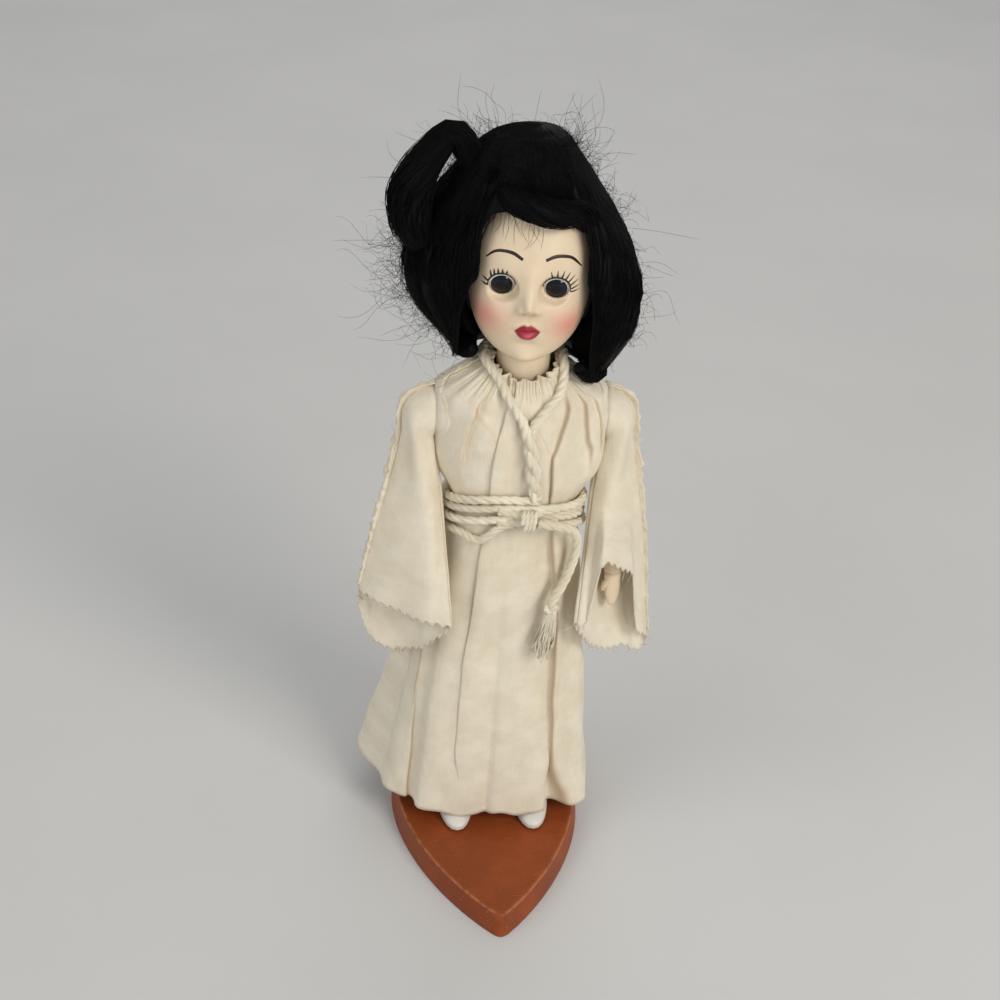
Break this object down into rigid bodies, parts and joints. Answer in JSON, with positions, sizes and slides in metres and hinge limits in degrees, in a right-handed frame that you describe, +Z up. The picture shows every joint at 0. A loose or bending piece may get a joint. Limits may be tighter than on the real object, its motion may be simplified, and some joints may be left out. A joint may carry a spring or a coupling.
{
  "type": "costume doll on stand",
  "caption": "Small costume doll with a strung hard-plastic body, sleep eyes, black wig, wide-sleeved cotton gown tied with white cord, on a pointed stand.",
  "frame": {"origin": "on the underside of the stand's middle rib, below the doll's upright axis", "axes": "+Z up; the doll faces -Y; the doll's left hand is at +X"},
  "size_m": [0.0812, 0.0804, 0.2114],
  "materials": {
    "stand": "moulded reddish brown, scuffed",
    "skin": "satin ivory, painted face",
    "eye": "polished",
    "wire": "drawn wire",
    "lead": "dull grey",
    "rubber": "natural rubber",
    "cotton": "cream plain-weave cotton",
    "cord": "white twisted cotton cord",
    "wig_cap": "black net",
    "hair": "black fibre"
  },
  "bodies": {
    "doll": {"stand_base": "stand", "body_front_half": "skin", "body_back_half": "skin", "stringing_band": "rubber", "neck_hook": "wire", "arm_hook_right": "wire", "arm_hook_left": "wire", "gown_front": "cotton", "gown_back": "cotton", "belt_cord": "cord", "belt_knot": "cord", "neck_cord": "cord", "left_tail_cord": "cord", "left_tail_knot": "cord", "left_tail_tassel": "cord", "right_tail_cord": "cord", "right_tail_knot": "cord", "right_tail_tassel": "cord"},
    "head": {"head_face_half": "skin", "head_back_half": "skin", "eye_bracket": "wire", "wig_cap": "wig_cap", "wig_hair": "hair"},
    "eyes": {"eye_right": "eye", "eye_left": "eye", "eye_wire": "wire", "eye_weight": "lead"},
    "arm_right": {"arm_right": "skin", "sleeve_right": "cotton"},
    "arm_left": {"arm_left": "skin", "sleeve_left": "cotton"}
  },
  "joints": [
    {"name": "head_turn", "type": "hinge", "parent": "doll", "child": "head", "pos_m": [0, 0, 0.145], "axis": [0, 0, 1], "range_deg": [-85, 85]},
    {"name": "eye_roll", "type": "hinge", "parent": "head", "child": "eyes", "pos_m": [-0.00117, -0.00832, 0.1753], "axis": [0.9903, -0.1392, 0], "range_deg": [-5, 78]},
    {"name": "arm_right_swing", "type": "hinge", "parent": "doll", "child": "arm_right", "pos_m": [-0.0235, 0, 0.1355], "axis": [-1, 0, 0], "range_deg": [0, 100]},
    {"name": "arm_left_swing", "type": "hinge", "parent": "doll", "child": "arm_left", "pos_m": [0.0235, 0, 0.1355], "axis": [-1, 0, 0], "range_deg": [0, 100]}
  ]
}
